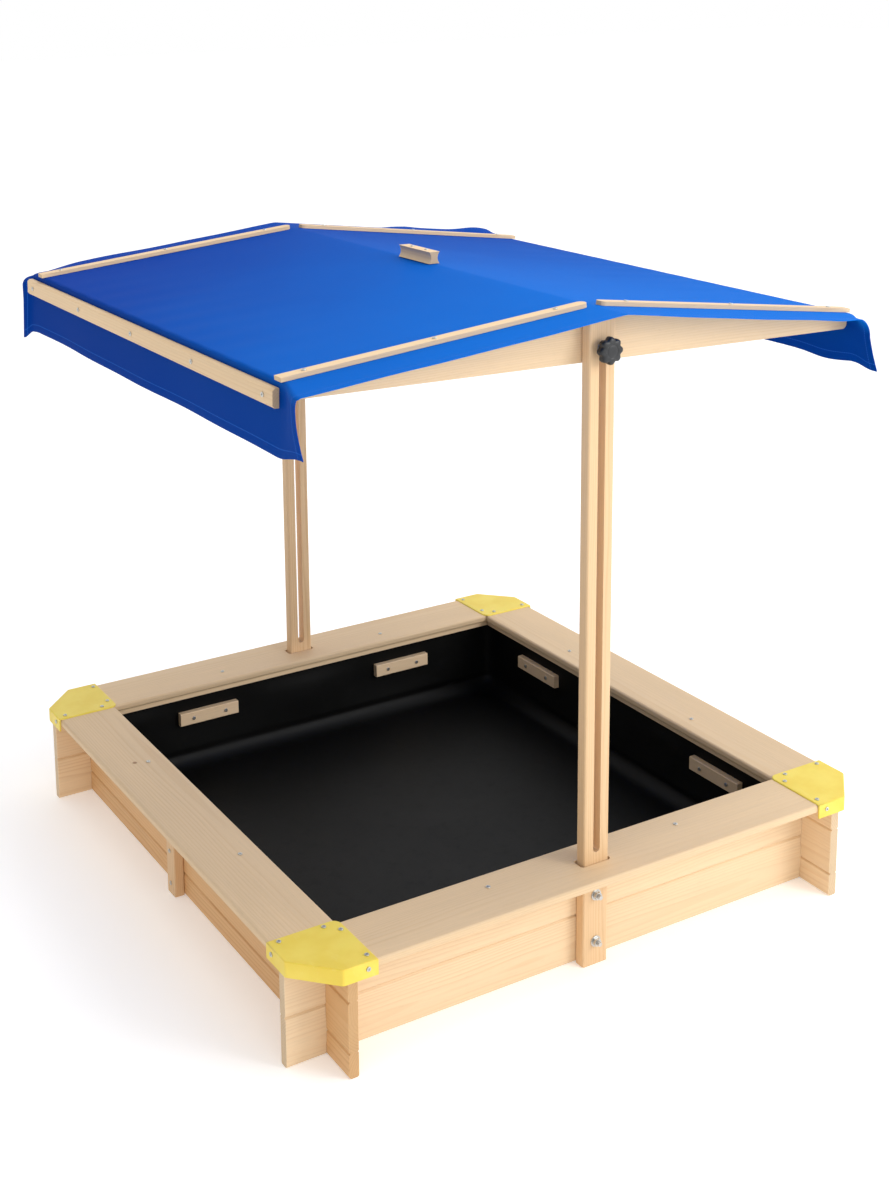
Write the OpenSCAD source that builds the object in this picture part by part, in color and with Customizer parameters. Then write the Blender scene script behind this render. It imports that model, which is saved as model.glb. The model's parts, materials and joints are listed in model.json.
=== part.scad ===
// Square wooden sandbox with bench seats, a sheet liner and a gabled fabric canopy.
// The canopy hangs on two slotted posts. Two star knobs clamp it at any height, and lowered it covers
// the sand.
// The origin is on the ground at the middle of the box. X runs along the front, +Y points to the back,
// +Z up.

/* [Walls] */
// Length of every wall plank, past its corner joints
plank_len = 1174; // [1060:2:1600]
// How far each plank runs on past the wall that crosses it
plank_end = 72; // [50:1:90]
// Thickness of a wall plank
plank_t = 18; // [14:1:30]
// Height of a full wall plank
plank_h = 87; // [60:1:140]
// Chamfer along the long edges of a plank
plank_chamfer = 3; // [1:0.5:5]
// Chamfer round the ends of a plank
end_chamfer = 1; // [0.5:0.5:3]

/* [Seat] */
// Width of a seat board
seat_w = 120; // [112:1:180]
// Thickness of a seat board
seat_t = 15; // [12:1:25]
// Rounding of the long edges of a seat board
seat_round = 5; // [1:0.5:7]
// Distance from the middle of a board to each of its two screws
seat_screw_x = 200; // [100:5:350]
// Width of the strip under the inner edge of a seat board
strip_w = 20; // [12:1:22]
// Height of the strip
strip_h = 12; // [8:1:20]

/* [Corner caps] */
// Wall of a plastic corner cap
cap_wall = 3; // [2:0.5:5]
// How far a cap reaches inwards past the inner edge of the seat
cap_lip = 5; // [2:1:12]
// Depth of the skirt, from the top of the cap
cap_skirt = 27; // [20:1:40]
// Length cut off each outer edge by the diagonal corner
cap_cut = 66; // [30:1:80]
// Rounding of the inner corner
cap_tip = 15; // [5:1:25]
// Distance from the cap's straight inner edges to its screws
cap_screw_in = 11; // [8:1:20]

/* [Liner] */
// Thickness of the liner
liner_t = 1.5; // [1:0.5:4]
// Length, height and thickness of a cleat that holds the liner
cleat = [137, 28, 13];
// Height of the middle of a cleat
cleat_z = 111; // [90:1:125]
// Distance of the cleats from the middle of the front and back walls
cleat_x = 244; // [120:2:340]
// Distance of the cleats from the middle of the side walls
cleat_y = 292; // [120:2:340]
// Distance of a cleat's screws from its middle
cleat_screw = 38; // [20:1:50]

/* [Posts] */
// Width of a post
post_w = 52; // [40:1:80]
// Thickness of a post
post_t = 22; // [18:1:35]
// Rounding of the upright edges of a post
post_round = 4; // [1:0.5:6]
// Wood left above the slot
post_end = 48; // [20:1:60]
// Height of the slot's lower end above the seat
slot_foot = 20; // [5:1:60]
// Distance that the clamp bolt can travel in the slot
slot_travel = 868; // [400:2:1000]
// Diameter of the clamp bolt
bolt_d = 10; // [6:1:12]
// Gap beside the clamp bolt in the slot
slot_gap = 2; // [1:0.5:4]
// Gap beside the post in its hole in the seat
hole_gap = [5, 1.5];
// Width, thickness and distance from the middle of the brace on each side wall
brace = [34, 20, 42];

/* [Canopy] */
// Tilt of the canopy as it is clamped at rest, right side down, in degrees
canopy_tilt = 1.5; // [-4:0.1:4]
// Half length of a gable beam
beam_half = 560; // [400:2:750]
// Thickness of a gable beam
beam_t = 22; // [16:1:35]
// Height of a gable beam at its middle
beam_mid = 89; // [70:1:140]
// Height of a gable beam at its ends
beam_tip = 27; // [20:1:50]
// Rounding of a beam's lower corners
beam_round = 9; // [2:1:15]
// Distance from the lower edge of a beam up to the clamp bolt
beam_bolt = 25; // [18:1:40]
// How far the fabric reaches out past a beam
overhang = 80; // [40:1:140]
// How far the fabric hangs below the beams at the eaves
valance_drop = 85; // [40:1:140]
// Thickness of the fabric
fabric_t = 1.5; // [1:0.25:3]
// Width and thickness of a batten along the gable
rake_batten = [21, 7];
// Distance from the ridge to a batten
rake_gap = 12; // [5:1:30]
// Height and thickness of a batten along the eaves
eave_batten = [30, 11];
// How far an eave batten reaches below the beams
eave_low = 13; // [5:1:16]
// How far an eave batten reaches past the beams, before it is shifted
eave_end = 16.5; // [0:0.5:30]
// How far an eave batten sits towards the back
eave_shift = 30; // [0:1:40]
// Width, height and length of the grip on the ridge
grip = [24, 22, 106];
// How far the grip sits towards the back
grip_shift = 11; // [0:1:30]

/* [Knobs] */
// Diameter over the lobes
knob_d = 49; // [36:1:60]
// Thickness of the lobed head
knob_head = 15; // [10:1:25]
// Length of the neck
knob_neck = 8; // [4:1:15]
// Number of lobes
knob_lobes = 8; // [5:1:10]

/* [Hidden] */
$fn = 48;

// Clearances
slide_gap = 0.5;   // between a beam and its post
thin_gap = 0.3;    // between pieces that lie on each other but move or are soft
pin_gap = 0.08;    // round the clamp bolt, where it turns
screw_gap = 0.1;   // round a screw's shank
over = 1;          // how far a cut runs past a face

// Walls: the long planks are full height in front and behind, and half, full, half at the sides
half = plank_len / 2;
wall_out = half - plank_end;
wall_in = wall_out - plank_t;
wall_mid = wall_out - plank_t / 2;
wall_h = 2 * plank_h;
notch = plank_h / 4;
notch_gap = 0.2;

// Seat
seat_z = wall_h;
seat_top = seat_z + seat_t;
seat_in = half - seat_w;
mitre_gap = 0.5;
cap_in = seat_in - cap_lip;
cap_fit = 0.5;
cap_out = half + cap_fit + cap_wall;
cap_top = seat_top + cap_wall;
cap_low = cap_top - cap_skirt;
cap_edge = 2.5;
cap_round = 8;
// The diagonal of the seat corner stays inside the cap's skirt: x + y is under this
corner_sum = 2 * cap_out - cap_cut - (cap_wall + cap_fit) * sqrt(2);
cap_screw_a = cap_in + cap_screw_in;
cap_screw_b = [cap_screw_a + 20, cap_out - 17];
cap_side_z = seat_z + seat_t * 0.4;

// Screws
screw_d = 4;
head_d = 8;
head_h = 2;
seat_screw = 38;
cleat_screw_len = 24;
cap_screw = 12;

// Liner
liner_gap = 0.4;
liner_out = wall_in - liner_gap;
liner_in = liner_out - liner_t;
liner_top = seat_z - 1;
strip_out = liner_in - thin_gap;
strip_z = seat_z - strip_h;
cleat_out = liner_in - thin_gap;
cleat_in = cleat_out - cleat[2];

// Posts stand against the outer faces of the front and back walls
post_in = wall_out;
post_out = post_in + post_t;
slot_w = bolt_d + 2 * slot_gap;
bolt_stop = 0.5;
bolt_low = seat_top + slot_foot + bolt_d / 2 + bolt_stop;
bolt_z = bolt_low + slot_travel;
slot_top = bolt_z + bolt_d / 2 + bolt_stop;
slot_low = seat_top + slot_foot;
post_h = slot_top + post_end;
post_bolt_d = 8;
post_bolt_z = [plank_h / 2, plank_h * 1.5];
bolt_head = [17, 4];
washer_d = 20;
washer_t = 1.6;
nut_af = 13;
nut_t = 6.5;
bolt_end = 6;
brace_z = [plank_h / 4, plank_h, plank_h * 1.75];

// Canopy, measured from the lower edge of the beams
beam_z = bolt_z - beam_bolt;
beam_out = post_in - slide_gap;
beam_in = beam_out - beam_t;
slope = (beam_mid - beam_tip) / beam_half;
pitch = atan(slope);
lay_gap = 0.2;
sheet_under = beam_mid + lay_gap;
sheet_v = fabric_t / cos(pitch);
sheet_top = sheet_under + sheet_v;
rake = beam_out + overhang;
valance_in = beam_half + thin_gap;
valance_out = valance_in + fabric_t;
eave_z = beam_z - eave_low;
eave_in = valance_out + thin_gap;
rail_w = 20;
rail_low = 3;
ridge_w = 30;
ridge_h = 22;
flap_half = post_w / 2 + 8;
rake_mid = beam_out - rake_batten[0] / 2;
rake_screw = [70, beam_half - 35];
rake_screws = [rake_screw[0], (rake_screw[0] + rake_screw[1]) / 2, rake_screw[1]];
eave_len = 2 * (beam_out + eave_end);
eave_screw = eave_len / 4 - 15.5;
eave_screws = [for (i = [-2:2]) i * eave_screw];
canopy_screw = 22;
grip_screw = 38;
grip_hole = 24;

// Clamp bolt
washer_y = post_out + thin_gap;
knob_y = washer_y + washer_t + thin_gap;
bolt_tip = knob_y + 14;
clamp_head = [20, 5];

// Mirrored copies
module mirror_y() { children(); mirror([0, 1, 0]) children(); }
module mirror_x() { children(); mirror([1, 0, 0]) children(); }

// Tilts the canopy about its clamp bolts
module tilted() { translate([0, 0, bolt_z]) rotate([0, canopy_tilt, 0]) translate([0, 0, -bolt_z])
    children(); }

// A cylinder that lies along +Y from the origin
module rod_y(d, length) { rotate([-90, 0, 0]) cylinder(d = d, h = length); }

// A round-headed screw: its head stands on the surface at the origin and its shank goes down -Z
module screw(length) {
    cylinder(d1 = head_d, d2 = head_d * 0.6, h = head_h);
    translate([0, 0, -length]) cylinder(d = screw_d, h = length + 0.5);
}

// The hole that such a screw leaves
module screw_hole(length) {
    translate([0, 0, -length - 0.5]) cylinder(d = screw_d + 2 * screw_gap, h = length + head_h + 5);
}

// A wall plank along X in its place on the front wall, from z = low to z = high
module plank(low, high, notch_low, notch_high) {
    c = plank_chamfer;
    difference() {
        intersection() {
            rotate([90, 0, 90]) linear_extrude(plank_len, center = true)
                polygon([[-wall_out, low + c], [-wall_out + c, low], [-wall_in - c, low], [-wall_in,
                    low + c],
                    [-wall_in, high - c], [-wall_in - c, high], [-wall_out + c, high], [-wall_out,
                        high - c]]);
            translate([0, 0, low - over]) linear_extrude(high - low + 2 * over)
                polygon([[-half + end_chamfer, -wall_out - 0.01], [half - end_chamfer, -wall_out - 0.01],
                    [half, -wall_out + end_chamfer], [half, -wall_in - end_chamfer],
                    [half - end_chamfer, -wall_in + 0.01], [-half + end_chamfer, -wall_in + 0.01],
                    [-half, -wall_in - end_chamfer], [-half, -wall_out + end_chamfer]]);
        }
        mirror_x() {
            if (notch_low) wall_notch(low - over, low + notch);
            if (notch_high) wall_notch(high - notch, high + over);
        }
    }
}

// The slot where another wall crosses this plank
module wall_notch(from, to) {
    translate([wall_in - notch_gap, -wall_out - over, from])
        cube([plank_t + 2 * notch_gap, plank_t + 2 * over, to - from]);
}

module front_plank(low) {
    difference() {
        plank(low, low + plank_h, true, true);
        post_holes();
        wall_screw_holes(cleat_x);
    }
}

module side_plank(low, high) {
    difference() {
        plank(low, high, low > 0, high < wall_h);
        wall_screw_holes(cleat_y);
        brace_holes();
    }
}

// Holes for the bolts of a post, with a recess for each head
module post_holes() {
    for (z = post_bolt_z) translate([0, -wall_in + over, z]) rotate([180, 0, 0]) {
        rod_y(post_bolt_d + 2 * screw_gap, plank_t + post_t + 2 * over);
        rod_y(bolt_head[0] + 1, bolt_head[1] + over);
    }
}

// Holes for the seat screws and the cleat screws of one wall
module wall_screw_holes(x) {
    mirror_x() {
        translate([seat_screw_x, -wall_mid, seat_top]) screw_hole(seat_screw);
        cleat_screw_places(x) screw_hole(cleat_screw_len);
    }
}

module cleat_screw_places(x) {
    for (s = [-cleat_screw, cleat_screw]) translate([x + s, -cleat_in, cleat_z]) rotate([-90, 0, 0])
        children();
}

module brace_screw_places() {
    for (z = brace_z) translate([brace_x, -wall_out - brace[1], z]) rotate([90, 0, 0]) children();
}
brace_x = brace[2];
brace_screw = 32;
module brace_holes() { brace_screw_places() screw_hole(brace_screw); }

// The side walls are the front wall turned, and braces keep the same side of the middle
module left_side() { mirror([1, 0, 0]) rotate([0, 0, 90]) children(); }
module right_side() { rotate([0, 0, 90]) children(); }

module front_plank_low() { color("burlywood") front_plank(0); }
module front_plank_high() { color("burlywood") front_plank(plank_h); }
module back_plank_low() { color("burlywood") mirror([0, 1, 0]) front_plank(0); }
module back_plank_high() { color("burlywood") mirror([0, 1, 0]) front_plank(plank_h); }
module left_plank_low() { color("burlywood") left_side() side_plank(0, plank_h / 2); }
module left_plank_mid() { color("burlywood") left_side() side_plank(plank_h / 2, plank_h * 1.5); }
module left_plank_high() { color("burlywood") left_side() side_plank(plank_h * 1.5, wall_h); }
module right_plank_low() { color("burlywood") right_side() side_plank(0, plank_h / 2); }
module right_plank_mid() { color("burlywood") right_side() side_plank(plank_h / 2, plank_h * 1.5); }
module right_plank_high() { color("burlywood") right_side() side_plank(plank_h * 1.5, wall_h); }

// A seat board on the front wall, mitred at both ends and cut back under the caps
module seat_board() {
    r = seat_round;
    difference() {
        intersection() {
            rotate([90, 0, 90]) linear_extrude(2 * half, center = true)
                translate([-half, seat_z]) offset(r = r) translate([r, r]) square([seat_w - 2 * r,
                    seat_t - 2 * r]);
            translate([0, 0, seat_z - over]) linear_extrude(seat_t + 2 * over)
                polygon([[-seat_in + mitre_gap, -seat_in + over], [seat_in - mitre_gap, -seat_in + over],
                    [seat_in - mitre_gap, -seat_in], [corner_sum / 2 - mitre_gap, -corner_sum / 2],
                    [corner_sum - half - over, -half - over], [half + over - corner_sum, -half - over],
                    [mitre_gap - corner_sum / 2, -corner_sum / 2], [-seat_in + mitre_gap, -seat_in]]);
        }
        mirror_x() translate([seat_screw_x, -wall_mid, seat_top]) screw_hole(seat_screw);
        mirror_x() {
            for (x = cap_screw_b) translate([cap_screw_a, -x, cap_top]) screw_hole(cap_screw);
            cap_side_screw() screw_hole(cap_screw);
        }
    }
}

// The side screw of a cap, on the front edge of the seat at the right
module cap_side_screw() {
    translate([cap_screw_a + 7, -cap_out, cap_side_z]) rotate([90, 0, 0]) children();
}

module post_seat() {
    difference() {
        seat_board();
        translate([0, -(post_in + post_out) / 2, seat_z - over]) linear_extrude(seat_t + 2 * over)
            offset(r = 6) square([post_w + 2 * hole_gap[0] - 12, post_t + 2 * hole_gap[1] - 12],
                center = true);
    }
}

module seat_front() { color("tan") post_seat(); }
module seat_back() { color("tan") mirror([0, 1, 0]) post_seat(); }
module seat_left() { color("tan") left_side() seat_board(); }
module seat_right() { color("tan") right_side() seat_board(); }

// A strip under the inner edge of a seat board, over the liner's edge
module strip(length) {
    translate([-length / 2, -strip_out, strip_z]) cube([length, strip_w, strip_h]);
}
strip_long = 2 * strip_out;
strip_short = 2 * (strip_out - strip_w - 0.5);

module seat_strips() {
    color("tan") {
        mirror_y() strip(strip_short);
        left_side() strip(strip_long);
        right_side() strip(strip_long);
    }
}

// Outline of a cap at the right front corner, seen from above, a distance d inside its edges
module cap_outline(d) {
    o = cap_out;
    r = cap_round;
    offset(delta = -d) union() {
        offset(r = r) offset(delta = -r)
            polygon([[cap_in + cap_tip, -o], [o - cap_cut, -o], [o, cap_cut - o], [o, -cap_in - cap_tip],
                [o - cap_cut, -cap_in - cap_tip], [cap_in + cap_tip, cap_cut - o]]);
        translate([cap_in, -o]) square([cap_tip + r, o - cap_in - cap_tip]);
        translate([cap_in + cap_tip, -cap_in - cap_tip - r]) square([o - cap_in - cap_tip, cap_tip + r]);
        translate([cap_in + cap_tip, -cap_in - cap_tip]) circle(r = cap_tip);
    }
}

module corner_cap() {
    r = cap_edge;
    difference() {
        hull() {
            translate([0, 0, cap_low]) linear_extrude(cap_skirt - r) cap_outline(0);
            for (a = [30:30:90]) translate([0, 0, cap_low]) linear_extrude(cap_skirt - r + r * sin(a))
                cap_outline(r - r * cos(a));
        }
        translate([0, 0, cap_low - over]) linear_extrude(cap_skirt - cap_wall + over) cap_hollow();
        cap_screw_places() screw_hole(cap_screw);
    }
}

// The space under a cap, open towards the sand
module cap_hollow() {
    o = cap_out - cap_wall;
    c = cap_cut - cap_wall * (2 - sqrt(2));
    offset(r = cap_edge) offset(delta = -cap_edge)
        polygon([[cap_in - 5, -o], [o - c, -o], [o, c - o], [o, 5 - cap_in], [cap_in - 5, 5 - cap_in]]);
}

// Four screws on top of the cap at the right front corner, and one in each side of its skirt
module cap_screw_places() {
    for (x = cap_screw_b) {
        translate([cap_screw_a, -x, cap_top]) children();
        translate([x, -cap_screw_a, cap_top]) children();
    }
    cap_side_screw() children();
    rotate([0, 0, 90]) mirror([1, 0, 0]) cap_side_screw() children();
}

module cap_front_left() { color("khaki") mirror([1, 0, 0]) corner_cap(); }
module cap_front_right() { color("khaki") corner_cap(); }
module cap_back_left() { color("khaki") rotate([0, 0, 180]) corner_cap(); }
module cap_back_right() { color("khaki") mirror([0, 1, 0]) corner_cap(); }
module cap_screws() { color("silver") mirror_x() mirror_y() cap_screw_places() screw(cap_screw); }

// The liner: a floor on the ground and four upright walls
module liner_floor() {
    color("black") translate([-liner_out, -liner_out, 0]) cube([2 * liner_out, 2 * liner_out, liner_t]);
}

module liner_wall(length, x) {
    color("black") difference() {
        translate([-length / 2, -liner_out, liner_t]) cube([length, liner_t, liner_top - liner_t]);
        mirror_x() cleat_screw_places(x) screw_hole(cleat_screw_len);
    }
}

module liner_front() { liner_wall(2 * liner_out, cleat_x); }
module liner_back() { mirror([0, 1, 0]) liner_wall(2 * liner_out, cleat_x); }
module liner_left() { left_side() liner_wall(2 * liner_in, cleat_y); }
module liner_right() { right_side() liner_wall(2 * liner_in, cleat_y); }

// Two cleats of one wall
module cleat_pair(x) {
    c = 1.5;
    mirror_x() difference() {
        translate([x, 0, cleat_z]) rotate([90, 0, 90]) linear_extrude(cleat[0], center = true)
            polygon([[-cleat_out, -cleat[1] / 2], [-cleat_in - c, -cleat[1] / 2], [-cleat_in,
                c - cleat[1] / 2],
                [-cleat_in, cleat[1] / 2 - c], [-cleat_in - c, cleat[1] / 2], [-cleat_out, cleat[1] / 2]]);
        cleat_screw_places(x) screw_hole(cleat_screw_len);
    }
}

module cleats() {
    color("tan") {
        mirror_y() cleat_pair(cleat_x);
        left_side() cleat_pair(cleat_y);
        right_side() cleat_pair(cleat_y);
    }
}

module wood_screws() {
    color("silver") {
        mirror_y() mirror_x() wall_screws(cleat_x);
        left_side() {
            mirror_x() wall_screws(cleat_y);
            brace_screw_places() screw(brace_screw);
        }
        right_side() {
            mirror_x() wall_screws(cleat_y);
            brace_screw_places() screw(brace_screw);
        }
    }
}

module wall_screws(x) {
    translate([seat_screw_x, -wall_mid, seat_top]) screw(seat_screw);
    cleat_screw_places(x) screw(cleat_screw_len);
}

// A post in front of the front wall
module post() {
    r = post_round;
    difference() {
        translate([0, -(post_in + post_out) / 2, 0]) linear_extrude(post_h)
            offset(r = r) square([post_w - 2 * r, post_t - 2 * r], center = true);
        translate([0, -post_in + over, 0]) rotate([90, 0, 0]) linear_extrude(post_t + 2 * over) hull() {
            translate([0, slot_low + slot_w / 2]) circle(d = slot_w);
            translate([0, slot_top - slot_w / 2]) circle(d = slot_w);
        }
        post_holes();
    }
}

module post_front() { color("burlywood") post(); }
module post_back() { color("burlywood") mirror([0, 1, 0]) post(); }

// Bolts from the inside of the wall through the post, with a washer and nut on the outside
module post_bolt() {
    for (z = post_bolt_z) translate([0, -wall_in - bolt_head[1], z]) rotate([180, 0, 0]) {
        rod_y(post_bolt_d, plank_t + post_t - bolt_head[1] + washer_t + nut_t + bolt_end);
        translate([0, -bolt_head[1] + 0.3, 0]) rod_y(bolt_head[0], bolt_head[1] - 0.4);
    }
}

module post_bolts() { color("silver") mirror_y() post_bolt(); }

module ring_y(d, hole, length) {
    difference() {
        rod_y(d, length);
        translate([0, -over, 0]) rod_y(hole, length + 2 * over);
    }
}

module post_washers() {
    color("silver") mirror_y() for (z = post_bolt_z) translate([0, -post_out, z]) rotate([180, 0, 0])
        ring_y(washer_d, post_bolt_d + 2 * screw_gap, washer_t);
}

module post_nuts() {
    color("silver") mirror_y() for (z = post_bolt_z) translate([0, -post_out - washer_t, z])
        rotate([180, 0, 0])
        difference() {
            rotate([-90, 0, 0]) cylinder(d = nut_af / cos(30), h = nut_t, $fn = 6);
            translate([0, -over, 0]) rod_y(post_bolt_d + 2 * screw_gap, nut_t + 2 * over);
        }
}

// A brace that ties the planks of a side wall together
module side_brace() {
    difference() {
        translate([brace_x, -wall_out - brace[1] / 2, 0]) linear_extrude(wall_h)
            offset(r = 3) square([brace[0] - 6, brace[1] - 6], center = true);
        brace_holes();
    }
}

module brace_left() { color("burlywood") left_side() side_brace(); }
module brace_right() { color("burlywood") right_side() side_brace(); }

// A gable beam in front, flat on its post
module beam() {
    r = beam_round;
    translate([0, 0, beam_z]) difference() {
        translate([0, -beam_in, 0]) rotate([90, 0, 0]) linear_extrude(beam_t)
            polygon(concat([for (a = [0:15:90]) [r * (1 - sin(a)) - beam_half, r * (1 - cos(a))]],
                [[-beam_half, beam_tip], [0, beam_mid], [beam_half, beam_tip]],
                [for (a = [90:-15:0]) [beam_half - r * (1 - sin(a)), r * (1 - cos(a))]]));
        translate([0, -beam_in + over, beam_bolt]) rotate([180, 0, 0])
            rod_y(bolt_d + 2 * pin_gap, beam_t + 2 * over);
        mirror_x() rake_screw_places() screw_hole(canopy_screw);
    }
}

module beam_front() { color("burlywood") tilted() beam(); }
module beam_back() { color("burlywood") tilted() mirror([0, 1, 0]) beam(); }

// Moves a child from the ridge down the right slope: x is then the distance along it, z is above the sheet
module on_slope() { translate([0, 0, sheet_top]) rotate([0, pitch, 0]) children(); }

module rake_screw_places() {
    on_slope() for (x = rake_screws) translate([x, -rake_mid, rake_batten[1] + lay_gap]) children();
}

// Rails between the two gable beams
module ridge_rail() {
    side = slope * ridge_w / 2 - beam_mid;
    color("burlywood") tilted() difference() {
        translate([0, -beam_in, beam_z]) rotate([-90, 0, 0]) linear_extrude(2 * beam_in)
            polygon([[-ridge_w / 2, ridge_h - beam_mid], [ridge_w / 2, ridge_h - beam_mid],
                [ridge_w / 2, side],
                [0, -beam_mid], [-ridge_w / 2, side]]);
        grip_screw_places() screw_hole(grip_screw);
    }
}

module eave_rail() {
    top = beam_tip + slope * rail_w;
    difference() {
        translate([0, -beam_in, beam_z]) rotate([-90, 0, 0]) linear_extrude(2 * beam_in)
            polygon([[beam_half, rail_low], [beam_half, -beam_tip], [beam_half - rail_w, -top],
                [beam_half - rail_w, rail_low]]);
        eave_screw_places() screw_hole(canopy_screw);
    }
}

module eave_rail_left() { color("burlywood") tilted() mirror([1, 0, 0]) eave_rail(); }
module eave_rail_right() { color("burlywood") tilted() eave_rail(); }

module eave_screw_places() {
    for (y = eave_screws) translate([eave_in + eave_batten[1], y + eave_shift, eave_z + eave_batten[0] / 2])
        rotate([0, 90, 0]) children();
}

// The fabric, in its two slopes between the beams and in the overhangs that run out past them. Half of the
// section of a slope lies on the beams from x = from to x = to.
module slope_section(from, to) {
    z = [sheet_under - slope * from, sheet_under - slope * to];
    polygon([[from, -z[0]], [to, -z[1]], [to, -z[1] - sheet_v], [from, -z[0] - sheet_v]]);
}

// A sheet along Y with that section
module slope_sheet(from, to, y, length) {
    translate([0, y, beam_z]) rotate([-90, 0, 0]) linear_extrude(length) slope_section(from, to);
}

module half_sheet() {
    difference() {
        slope_sheet(0, valance_out, -beam_out, 2 * beam_out);
        translate([0, 0, beam_z]) mirror_y() rake_screw_places() screw_hole(canopy_screw);
        grip_screw_places() screw_hole(grip_screw);
    }
}

module sheet_left() { color("royalblue") tilted() mirror([1, 0, 0]) half_sheet(); }
module sheet_right() { color("royalblue") tilted() half_sheet(); }

module overhangs() {
    color("royalblue") tilted() mirror_x() mirror_y()
        slope_sheet(flap_half + lay_gap, valance_out, -rake, overhang - lay_gap);
}

// The piece of the overhang in front of a post, which folds up as the post pushes it
module flap() { mirror_x() slope_sheet(0, flap_half, -rake, overhang - lay_gap); }

module flap_front() { color("royalblue") tilted() flap(); }
module flap_back() { color("royalblue") tilted() mirror([0, 1, 0]) flap(); }

// The fabric that hangs down at the eaves
module valance() {
    difference() {
        translate([valance_in, -rake, beam_z - valance_drop])
            cube([fabric_t, 2 * rake, valance_drop + sheet_under - slope * valance_out - lay_gap]);
        eave_screw_places() screw_hole(canopy_screw);
    }
}

module valance_left() { color("mediumblue") tilted() mirror([1, 0, 0]) valance(); }
module valance_right() { color("mediumblue") tilted() valance(); }

// A batten down the right slope over the front beam, rounded at the ridge
module rake_batten() {
    w = rake_batten[0];
    len = (beam_half + 6) / cos(pitch);
    translate([0, 0, beam_z]) difference() {
        on_slope() translate([0, -rake_mid, lay_gap]) linear_extrude(rake_batten[1]) union() {
            translate([rake_gap + w / 2, 0]) circle(d = w);
            translate([rake_gap + w / 2, -w / 2]) square([len - rake_gap - w / 2, w]);
        }
        rake_screw_places() screw_hole(canopy_screw);
    }
}

module batten_front_left() { color("burlywood") tilted() mirror([1, 0, 0]) rake_batten(); }
module batten_front_right() { color("burlywood") tilted() rake_batten(); }
module batten_back_left() { color("burlywood") tilted() rotate([0, 0, 180]) rake_batten(); }
module batten_back_right() { color("burlywood") tilted() mirror([0, 1, 0]) rake_batten(); }

// A batten outside the valance, with its long outer edges eased
module eave_batten() {
    h = eave_batten[0];
    t = eave_batten[1];
    c = t * 0.35;
    difference() {
        translate([eave_in, eave_shift - eave_len / 2, eave_z]) rotate([-90, 0, 0]) linear_extrude(eave_len)
            polygon([[0, 0], [t - c, 0], [t, -c], [t, c - h], [t - c, -h], [0, -h]]);
        eave_screw_places() screw_hole(canopy_screw);
    }
}

module eave_batten_left() { color("burlywood") tilted() mirror([1, 0, 0]) eave_batten(); }
module eave_batten_right() { color("burlywood") tilted() eave_batten(); }

// The grip on the ridge, waisted along both long sides
module grip_block() {
    w = grip[0];
    h = grip[1];
    scoop = 16;
    dip = 5;
    color("burlywood") tilted() translate([0, grip_shift, beam_z + sheet_top + lay_gap]) difference() {
        rotate([90, 0, 0]) linear_extrude(grip[2], center = true) difference() {
            translate([-w / 2, 0]) square([w, h]);
            for (s = [-1, 1]) translate([s * (w / 2 + scoop - dip), h / 2]) circle(r = scoop);
        }
        for (s = [-grip_hole, grip_hole]) translate([0, s, h]) screw_hole(grip_screw);
    }
}

module grip_screw_places() {
    for (s = [-grip_hole, grip_hole])
        translate([0, grip_shift + s, beam_z + sheet_top + lay_gap + grip[1]]) children();
}

module canopy_screws() {
    color("silver") tilted() {
        translate([0, 0, beam_z]) mirror_x() mirror_y() rake_screw_places() screw(canopy_screw);
        mirror_x() eave_screw_places() screw(canopy_screw);
        grip_screw_places() screw(grip_screw);
    }
}

// The clamp bolts, which slide in the slots and carry the beams
module clamp_bolt() {
    translate([0, -beam_in + thin_gap, bolt_z]) rotate([180, 0, 0]) rod_y(bolt_d,
        bolt_tip - beam_in + thin_gap);
    translate([0, -beam_in + thin_gap + clamp_head[1], bolt_z]) rotate([180, 0, 0])
        rod_y(clamp_head[0], clamp_head[1]);
}

module clamp_bolts() { color("silver") mirror_y() clamp_bolt(); }

module clamp_washers() {
    color("silver") mirror_y() translate([0, -washer_y, bolt_z]) rotate([180, 0, 0])
        ring_y(24, bolt_d + 2 * screw_gap, washer_t);
}

// A star knob on the clamp bolt
module knob() {
    r = knob_d / 2;
    scallop = r * 0.36;
    translate([0, -knob_y, bolt_z]) rotate([180, 0, 0]) difference() {
        union() {
            rod_y(r * 1.1, knob_neck + 1);
            translate([0, knob_neck, 0]) intersection() {
                rotate([-90, 0, 0]) linear_extrude(knob_head) difference() {
                    circle(r = r);
                    for (i = [0:knob_lobes - 1]) rotate(i * 360 / knob_lobes + 11)
                        translate([r + scallop * 0.55, 0]) circle(r = scallop);
                }
                rotate([-90, 0, 0]) cylinder(r1 = r + 3.75, r2 = r - knob_head + 3.75 + 7, h = knob_head);
            }
        }
        translate([0, -over, 0]) rod_y(bolt_d + 2 * pin_gap, bolt_tip - knob_y + 1 + over);
    }
}

module knob_front() { color("dimgray") knob(); }
module knob_back() { color("dimgray") mirror([0, 1, 0]) knob(); }

front_plank_low();
front_plank_high();
back_plank_low();
back_plank_high();
left_plank_low();
left_plank_mid();
left_plank_high();
right_plank_low();
right_plank_mid();
right_plank_high();
seat_front();
seat_back();
seat_left();
seat_right();
seat_strips();
cap_front_left();
cap_front_right();
cap_back_left();
cap_back_right();
liner_floor();
liner_front();
liner_back();
liner_left();
liner_right();
cleats();
post_front();
post_back();
brace_left();
brace_right();
beam_front();
beam_back();
ridge_rail();
eave_rail_left();
eave_rail_right();
sheet_left();
sheet_right();
overhangs();
flap_front();
flap_back();
valance_left();
valance_right();
batten_front_left();
batten_front_right();
batten_back_left();
batten_back_right();
eave_batten_left();
eave_batten_right();
grip_block();
clamp_bolts();
clamp_washers();
knob_front();
knob_back();
wood_screws();
cap_screws();
post_bolts();
post_washers();
post_nuts();
canopy_screws();
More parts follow.
